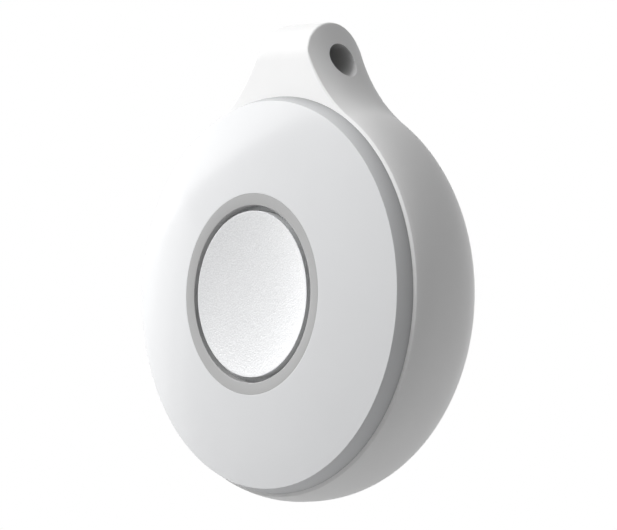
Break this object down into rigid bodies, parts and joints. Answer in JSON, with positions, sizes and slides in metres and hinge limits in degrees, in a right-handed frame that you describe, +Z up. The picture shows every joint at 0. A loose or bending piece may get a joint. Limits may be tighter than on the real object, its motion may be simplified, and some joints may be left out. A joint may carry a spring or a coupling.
{
  "type": "panic button",
  "caption": "Round white pendant panic button with a lanyard lug, a domed front, a sprung centre button in a grey ring and a turn-lock battery cap at the back.",
  "frame": {"origin": "centre of the lanyard bore, at the middle of the lug", "axes": "+Z up along the pendant as it hangs, the button faces -Y, +X to its right seen from the front; the lanyard bore runs along X"},
  "size_m": [0.043, 0.0149, 0.0499],
  "materials": {
    "housing_plastic": "fine satin",
    "cover_plastic": "fine satin",
    "ring_plastic": "satin, faintly translucent",
    "button_plastic": "fine satin",
    "grey_silicone": "matte",
    "black_rubber": "matte",
    "board_laminate": "solder mask",
    "black_plastic": "moulded",
    "white_plastic": "moulded",
    "steel": "bright",
    "capacitor_body": "fired ceramic",
    "gold_plate": "plated",
    "led_resin": "clear resin"
  },
  "bodies": {
    "housing": {"rear_housing": "housing_plastic", "front_cover": "cover_plastic", "light_ring": "ring_plastic", "button_membrane": "grey_silicone", "cover_gasket": "black_rubber", "circuit_board": "board_laminate", "switch_body": "black_plastic", "switch_frame": "steel", "switch_terminals": "steel", "snap_dome": "steel", "radio_chip": "black_plastic", "crystal": "steel", "chip_capacitors": "capacitor_body", "chip_resistors": "black_plastic", "antenna": "gold_plate", "status_leds": "led_resin", "board_screws": "steel", "coin_cell": "steel", "positive_contact": "gold_plate", "negative_contact": "gold_plate", "cap_seal": "black_rubber"},
    "button": {"button_cap": "button_plastic"},
    "plunger": {"switch_plunger": "white_plastic"},
    "cap": {"battery_cap": "housing_plastic"}
  },
  "joints": [
    {"name": "button_press", "type": "slide", "parent": "housing", "child": "button", "axis": [0, 1, 0], "range_m": [0, 0.0004], "stiffness_N_per_m": 1500, "deforming": ["button_membrane"]},
    {"name": "plunger_press", "type": "slide", "parent": "housing", "child": "plunger", "axis": [0, 1, 0], "range_m": [0, 0.0004], "deforming": ["snap_dome"]},
    {"name": "cap_turn", "type": "hinge", "parent": "housing", "child": "cap", "pos_m": [0, 0, -0.02445], "axis": [0, 1, 0], "range_deg": [0, 40]}
  ],
  "couplings": [
    {"joint": "plunger_press", "follows": "button_press", "ratio": 1}
  ]
}
